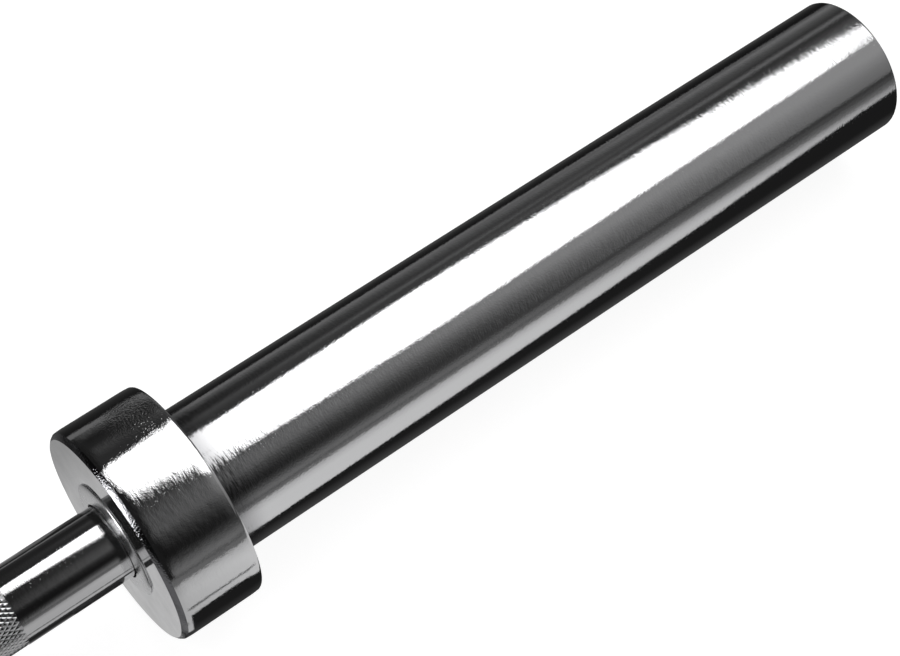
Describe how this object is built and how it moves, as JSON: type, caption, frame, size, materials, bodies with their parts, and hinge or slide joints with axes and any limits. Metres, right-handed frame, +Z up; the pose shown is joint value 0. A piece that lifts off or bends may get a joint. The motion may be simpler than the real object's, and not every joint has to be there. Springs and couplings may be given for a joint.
{
  "type": "olympic barbell",
  "caption": "Knurled steel bar with a free-turning chromed plate sleeve and thick collar on each end, for loading round weight plates.",
  "frame": {"origin": "middle of the bar on its own axis", "axes": "+X along the bar towards the right sleeve, +Z up, +Y level and across the bar"},
  "size_m": [1.83, 0.074, 0.074],
  "materials": {
    "bar_chrome": "polished chrome over fine turning marks, with a diamond knurl on the grip",
    "sleeve_chrome": "polished chrome over fine turning marks round the sleeve",
    "collar_chrome": "polished chrome, with a grainy bevel round the inner face",
    "ring_chrome": "polished chrome, turned dome",
    "bushing_bronze": "oiled sintered bronze",
    "washer_steel": "ground steel",
    "spring_steel": "dark phosphated spring steel",
    "cap_aluminium": "turned aluminium"
  },
  "bodies": {
    "bar": {"shaft": "bar_chrome", "left_inner_washer": "washer_steel", "left_outer_washer": "washer_steel", "left_snap_ring": "spring_steel", "right_inner_washer": "washer_steel", "right_outer_washer": "washer_steel", "right_snap_ring": "spring_steel"},
    "left_sleeve_unit": {"left_sleeve": "sleeve_chrome", "left_collar": "collar_chrome", "left_dust_ring": "ring_chrome", "left_inner_bushing": "bushing_bronze", "left_outer_bushing": "bushing_bronze", "left_end_cap": "cap_aluminium", "left_cap_ring": "spring_steel"},
    "right_sleeve_unit": {"right_sleeve": "sleeve_chrome", "right_collar": "collar_chrome", "right_dust_ring": "ring_chrome", "right_inner_bushing": "bushing_bronze", "right_outer_bushing": "bushing_bronze", "right_end_cap": "cap_aluminium", "right_cap_ring": "spring_steel"}
  },
  "joints": [
    {"name": "left_sleeve_spin", "type": "hinge", "parent": "bar", "child": "left_sleeve_unit", "pos_m": [-0.775, 0, 0], "axis": [1, 0, 0], "continuous": true},
    {"name": "right_sleeve_spin", "type": "hinge", "parent": "bar", "child": "right_sleeve_unit", "pos_m": [0.775, 0, 0], "axis": [1, 0, 0], "continuous": true}
  ]
}
